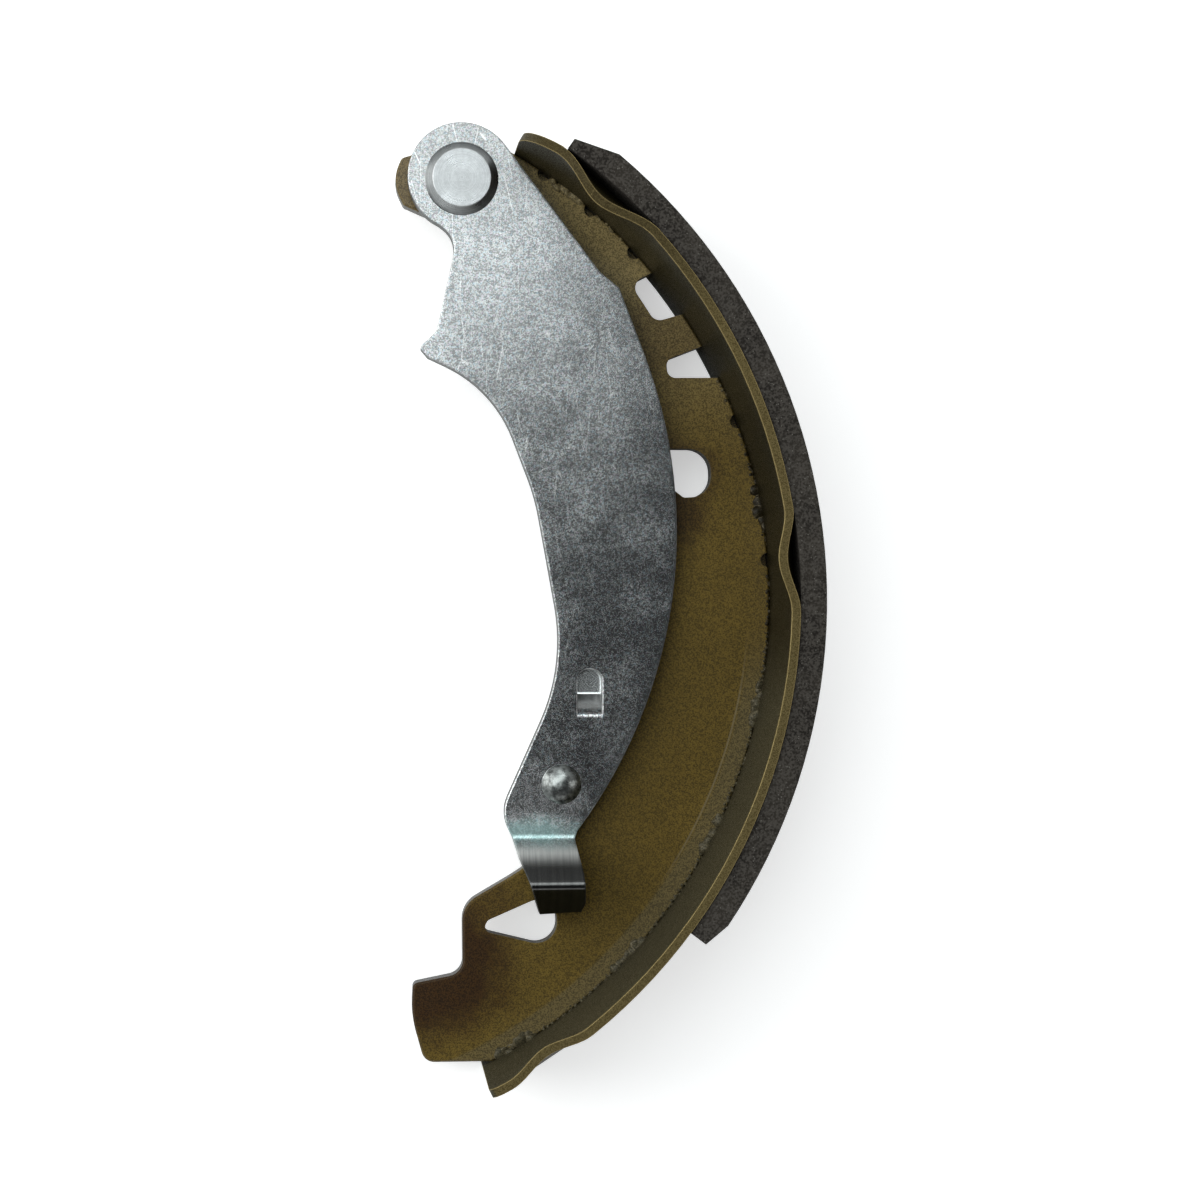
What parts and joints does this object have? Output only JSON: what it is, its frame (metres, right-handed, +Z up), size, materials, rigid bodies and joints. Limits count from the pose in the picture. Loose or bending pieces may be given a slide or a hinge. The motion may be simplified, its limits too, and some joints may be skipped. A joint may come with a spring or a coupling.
{
  "type": "brake shoe",
  "caption": "Curved drum-brake shoe with a bonded friction lining on a welded T-section, and a hinged parking-brake lever with a stop tab and a folded cable hook.",
  "frame": {"origin": "under the middle of the part's box, on the surface that it lies on", "axes": "+X across the shoe towards the friction lining, +Y along the shoe towards the lever's pivot, +Z up as it lies, along the drum's axis towards the backing plate"},
  "size_m": [0.0754, 0.1742, 0.038],
  "materials": {
    "shoe_lacquer": "glossy olive-gold protective lacquer with darker runs",
    "friction_lining": "matte moulded friction compound with fine pale flecks",
    "zinc_plate": "satin zinc plate, finely mottled",
    "pin_steel": "satin plated steel",
    "clip_steel": "dark oiled spring steel"
  },
  "bodies": {
    "shoe": {"web": "shoe_lacquer", "rim": "shoe_lacquer", "lining": "friction_lining"},
    "lever": {"lever": "zinc_plate", "pivot_pin": "pin_steel", "stop_pin": "pin_steel", "spring_washer": "clip_steel", "retaining_clip": "clip_steel"}
  },
  "joints": [
    {"name": "lever_pivot", "type": "hinge", "parent": "shoe", "child": "lever", "pos_m": [-0.02563, 0.07676, 0.01], "axis": [0, 0, -1], "range_deg": [0, 90]}
  ]
}
